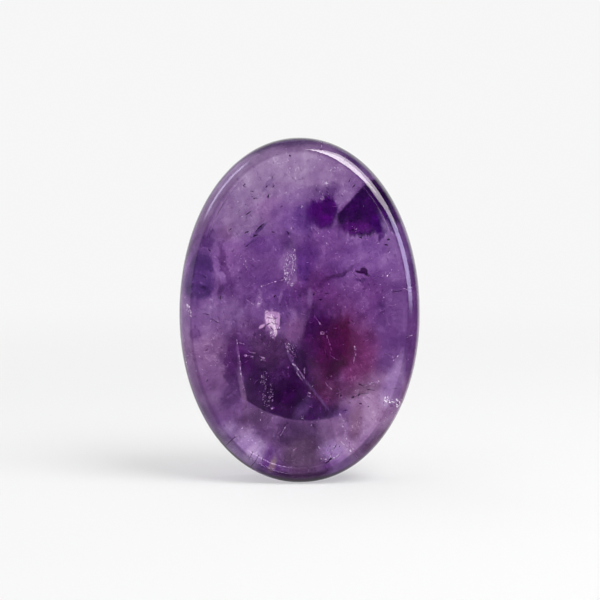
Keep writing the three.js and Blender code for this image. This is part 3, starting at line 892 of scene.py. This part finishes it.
def thread_parts(rng, count):
    """Faint hair-fine sheets all through the stone, most of them rising to the right or nearly upright.

    Each is a short stretch of a parabola."""
    parts = []
    for across, up, depth in inside_places(rng, count):
        lean = math.radians(rng.choice(THREAD_LEANS) + rng.normal(0, 14))
        half = rng.uniform(0.15, 0.6)
        bow = rng.uniform(-0.25, 0.25) * half
        share = np.linspace(-1, 1, 5)
        x = across + half * share * math.cos(lean) - bow * share ** 2 * math.sin(lean)
        z = up + half * share * math.sin(lean) + bow * share ** 2 * math.cos(lean)
        path = in_stone(x, z, np.full(5, depth))
        parts.append(splinter(path, breadth=0.07, sheet_lean=40, thickness=0.03, rng=rng, rings=8))
    return parts


def dust_parts(rng, count, longest, slimmest, way=None):
    """Chips of dust: a third of them all through the stone, and the rest strewn round the gatherings."""
    across, up, depth = inside_places(rng, count).T
    chosen = GATHERINGS[rng.integers(0, len(GATHERINGS), count)]
    off = rng.normal(0, 0.5, (count, 2)) * chosen[:, 2:]
    near = rng.uniform(0, 1, count) < 0.65
    across = np.where(near, chosen[:, 0] + off[:, 0], across)
    up = np.where(near, chosen[:, 1] + off[:, 1], up)
    facing = np.array([0.0, -1.0, 0.2]) + rng.normal(0, 0.5, (count, 3))
    lengths = longest * rng.uniform(0.35, 1.0, count) ** 1.5
    along = None if way is None else np.array(way) + rng.normal(0, 0.5, (count, 3))
    slimness = rng.uniform(slimmest, slimmest * 2.5, count)
    return [chips(in_stone(across, up, depth), facing, lengths, slimness, rng, along=along)]


def needle_parts(rng):
    """A straight splinter for each needle, with its middle at the needle's place and a depth of its own."""
    parts = []
    for across, up, length, breadth, lean in NEEDLES:
        way = np.array([math.cos(math.radians(lean)), math.sin(math.radians(lean))]) * length / 2
        ends = np.array([across, up]) + np.outer([-1, 1], way)
        path = in_stone(ends[:, 0], ends[:, 1], np.full(2, rng.uniform(-2.0, 0.5)))
        parts.append(splinter(path, breadth, sheet_lean=20, thickness=breadth / 2, rng=rng, rings=6))
    return parts


rng = np.random.default_rng(7)
# An open fracture holds a film of air, which turns the softboxes' light back: a bright silvery fleck, made
# bright mostly by a painted glow that stands in for that light
glint_glow_film = plain_material("fracture film with a painted glint glow", "#f0f4f0", roughness=0.35, glow=1.2)
# A healed one holds tiny drops of liquid, which scatter the light that comes through: a dull pinkish veil,
# with a faint painted glow for that scattered light
healed_film = plain_material("healed fracture film", "#b990c0", roughness=0.45, glow=0.1)
# Iron oxide lets no light through: a needle shows as a dark stroke, with the crystal's purple in it
needle_stuff = plain_material("dark iron oxide needles", "#33124a", roughness=0.4)
inner_piece("fracture_glints", (
    veil_parts(rng, share=1.0, longer=0.7)
    + crack_parts(rng, spacing=0.45, aside=0.1, longest=0.34)
    + dust_parts(rng, 250, longest=0.16, slimmest=0.16, way=(0.5, 0.0, 0.8))), glint_glow_film)
inner_piece("healed_veils", (
    veil_parts(rng, share=0.7, longer=1.0)
    + crack_parts(rng, spacing=0.13, aside=0.22, longest=0.45)
    + thread_parts(rng, 70)
    + dust_parts(rng, 160, longest=0.18, slimmest=0.2)), healed_film)
inner_piece("dark_needles", (
    needle_parts(rng)
    + dust_parts(rng, 310, longest=0.42, slimmest=0.12, way=(0.75, 0.0, 0.65))), needle_stuff)


# Stage: one seamless sheet that is the floor and, far off all round, the backdrop

# How far the sheet lies flat, the radius of its sweep and the height of its wall, in millimetres
FLAT_REACH, SWEEP_RADIUS, WALL_HEIGHT = 1500.0, 500.0, 900.0
FLAT_RINGS = [0, 60, 200, 600]  # the radius of each ring on the flat before the sweep's first
SWEEP_RINGS = 13
SHEET_SIDES = 96
# How pale the sheet is and how much it glows near the stone, how much it glows far off, where it is black but
# for its glow, and the stretch of distance, in metres, over which the one changes to the other
PAPER_TONE, PAPER_GLOW, BACKDROP_GLOW = 0.42, 0.438, 0.925
GLOW_BEGINS, GLOW_FULL = 0.05, 0.25


def sheet_points():
    """Rings of a circle of floor whose edge sweeps up in a quarter circle to a low wall.

    They are a profile turned about Z, the way round that makes its faces look up and inwards."""
    turn = np.linspace(0, np.pi / 2, SWEEP_RINGS)
    radius = np.concatenate([FLAT_RINGS, FLAT_REACH + SWEEP_RADIUS * np.sin(turn),
                             [FLAT_REACH + SWEEP_RADIUS]])[:, None]
    height = np.concatenate([np.zeros(len(FLAT_RINGS)), SWEEP_RADIUS * (1 - np.cos(turn)),
                             [WALL_HEIGHT]])[:, None]
    angle = np.linspace(2 * np.pi, 0, SHEET_SIDES, endpoint=False)
    return np.stack(np.broadcast_arrays(radius * np.cos(angle), radius * np.sin(angle), height), axis=-1)


def paper_material():
    """Matt white paper, lit from behind: no shine, and an even pale tone with a soft shadow on it.

    Near the stone it takes the studio's light, and further off its own even glow takes over."""
    paper = bpy.data.materials.new("matt white paper, lit from behind")
    paper.use_nodes = True
    tree = paper.node_tree
    sheet = tree.nodes["Principled BSDF"]
    sheet.inputs["Roughness"].default_value = 0.9
    sheet.inputs["Specular IOR Level"].default_value = 0.0
    sheet.inputs["Emission Color"].default_value = (1, 1, 1, 1)
    place = node(tree, "TexCoord").outputs["Object"]
    far = node(tree, "VectorMath", {0: place}, operation="LENGTH").outputs["Value"]
    levels = []
    for near_level, far_level in ((PAPER_GLOW, BACKDROP_GLOW), (PAPER_TONE, 0.0)):
        levels.append(node(tree, "MapRange", {
            "Value": far, "From Min": GLOW_BEGINS, "From Max": GLOW_FULL, "To Min": near_level,
            "To Max": far_level}, interpolation_type="SMOOTHSTEP").outputs[0])
    glow, tone = levels
    grey = node(tree, "CombineColor", {0: tone, 1: tone, 2: tone}).outputs[0]
    tree.links.new(glow, sheet.inputs["Emission Strength"])
    tree.links.new(grey, sheet.inputs["Base Color"])
    return paper


verts, faces = ring_mesh(sheet_points(), closed_end=False)
floor = mesh_piece("studio_sheet", verts, faces)
floor.data.materials.append(paper_material())
floor.visible_glossy = False


# Light: a pale room that only the polish mirrors, and softboxes

# The pale sides of the room, which is dark in front, so that the dark crystal stays dark: on the left, on the
# floor's side, on the right, above and far behind. Each has the axis that it lies along, where it begins and
# is full along it, how far round to the front it reaches, and how pale it is
ROOM_SIDES = [
    ("X", -0.15, -0.6, -0.8, 0.7),
    ("Z", -0.15, -0.5, -0.2, 0.3),
    ("X", 0.1, 0.4, 0.55, 0.95),
    ("Z", 0.2, 0.5, 0.6, 0.5),
    ("Y", 0.8, 0.95, 0.6, 0.9),
]
ROOM_FADE = 0.35  # over how much of the way back each comes up from dark to its full paleness


def pale_room():
    """The room round the stage: at each direction, the palest of its sides.

    The sheet hides it from everything but the polish, which mirrors it in the stone's rounded edge."""
    world = bpy.data.worlds.new("pale studio")
    world.use_nodes = True
    tree = world.node_tree
    background = tree.nodes["Background"]
    background.inputs["Color"].default_value = (1, 1, 1, 1)
    toward = node(tree, "SeparateXYZ", {"Vector": node(tree, "TexCoord").outputs["Generated"]})
    level = 0.0
    for axis, begins, full, front_limit, pale in ROOM_SIDES:
        side = node(tree, "MapRange", {
            "Value": toward.outputs[axis], "From Min": begins, "From Max": full, "To Max": pale},
            interpolation_type="SMOOTHSTEP").outputs[0]
        back = node(tree, "MapRange", {
            "Value": toward.outputs["Y"], "From Min": front_limit, "From Max": front_limit + ROOM_FADE},
            interpolation_type="SMOOTHSTEP").outputs[0]
        side = node(tree, "Math", {0: side, 1: back}, operation="MULTIPLY").outputs[0]
        level = node(tree, "Math", {0: side, 1: level}, operation="MAXIMUM").outputs[0]
    tree.links.new(level, background.inputs["Strength"])
    return world


def softbox(name, place, aim, width, height, power, lights=True, shines=True, tint="#ffffff", fade=0.0):
    """A rectangular soft light at a place in millimetres, turned to face its aim.

    It dims towards its edges over this share of its size, as a real softbox's cloth does. One that lights is
    seen by matt and clear things, and one that shines is seen by the polish."""
    data = bpy.data.lights.new(name, "AREA")
    data.shape = "RECTANGLE"
    data.size, data.size_y = width * MM, height * MM
    data.energy = power
    data.color = linear(tint)[:3]
    if fade:
        data.use_nodes = True
        tree = data.node_tree
        cloth = node(tree, "SeparateXYZ", {"Vector": node(tree, "NewGeometry").outputs["Parametric"]})
        strength = 1.0
        for axis in ("X", "Y"):
            off = node(tree, "Math", {0: cloth.outputs[axis], 1: 0.5}, operation="SUBTRACT").outputs[0]
            off = node(tree, "Math", {0: off}, operation="ABSOLUTE").outputs[0]
            dim = node(tree, "MapRange", {
                "Value": off, "From Min": 0.5 - fade, "From Max": 0.5, "To Min": 1.0, "To Max": 0.0},
                interpolation_type="SMOOTHSTEP").outputs[0]
            strength = node(tree, "Math", {0: dim, 1: strength}, operation="MULTIPLY").outputs[0]
        tree.links.new(strength, tree.nodes["Emission"].inputs["Strength"])
    lamp = bpy.data.objects.new(name, data)
    bpy.context.scene.collection.objects.link(lamp)
    lamp.location = Vector(place) * MM
    lamp.rotation_euler = (Vector(aim) - Vector(place)).to_track_quat("-Z", "Y").to_euler()
    lamp.visible_camera = False
    lamp.visible_diffuse = lights
    lamp.visible_glossy = shines
    lamp.visible_transmission = lights


bpy.context.scene.world = pale_room()
softbox("key_softbox", (275, -205, 490), (0, 0, 25), 330, 330, 2.75, shines=False)
softbox("ceiling_softbox", (0, 0, 900), (0, 0, 0), 1200, 1200, 4.2, shines=False)
softbox("shoulder_shine", (280, -174, 348), (0, 0, 25), 480, 470, 5.0, lights=False, tint="#fff4fb",
        fade=0.05)
softbox("shoulder_core", (150, -160, 250), (0, 0, 25), 170, 200, 0.8, lights=False)
softbox("side_window", (405, -190, 90), (0, 0, 90), 400, 240, 2.4, lights=False, tint="#dbd6ff",
        fade=0.25)
softbox("left_window", (-350, 40, 290), (0, 0, 25), 190, 300, 0.9, lights=False, tint="#e6e0ff",
        fade=0.25)

# Camera: a long lens, a little above the stone. The stone's height fills its share of the frame
PIXELS = 600
STONE_PIXELS = 343
LENS, SENSOR = 110.0, 36.0
ELEVATION = math.radians(6)
AIM = Vector((0.06, 0, 26.4))

scene = bpy.context.scene
frame_width = HEIGHT * PIXELS / STONE_PIXELS
distance = frame_width / 2 / (SENSOR / 2 / LENS)
back_off = Vector((0, -math.cos(ELEVATION), math.sin(ELEVATION)))
camera = bpy.data.objects.new("camera", bpy.data.cameras.new("camera"))
scene.collection.objects.link(camera)
camera.data.lens, camera.data.sensor_width = LENS, SENSOR
camera.location = (AIM + back_off * distance) * MM
camera.rotation_euler = (-back_off).to_track_quat("-Z", "Y").to_euler()
camera.data.clip_start, camera.data.clip_end = 0.01, 10
scene.camera = camera

# Enough bounces for light to cross the stone and what is inside it, and colours shown as they are
scene.cycles.max_bounces = 16
scene.cycles.transmission_bounces = 12
scene.view_settings.view_transform = "Standard"
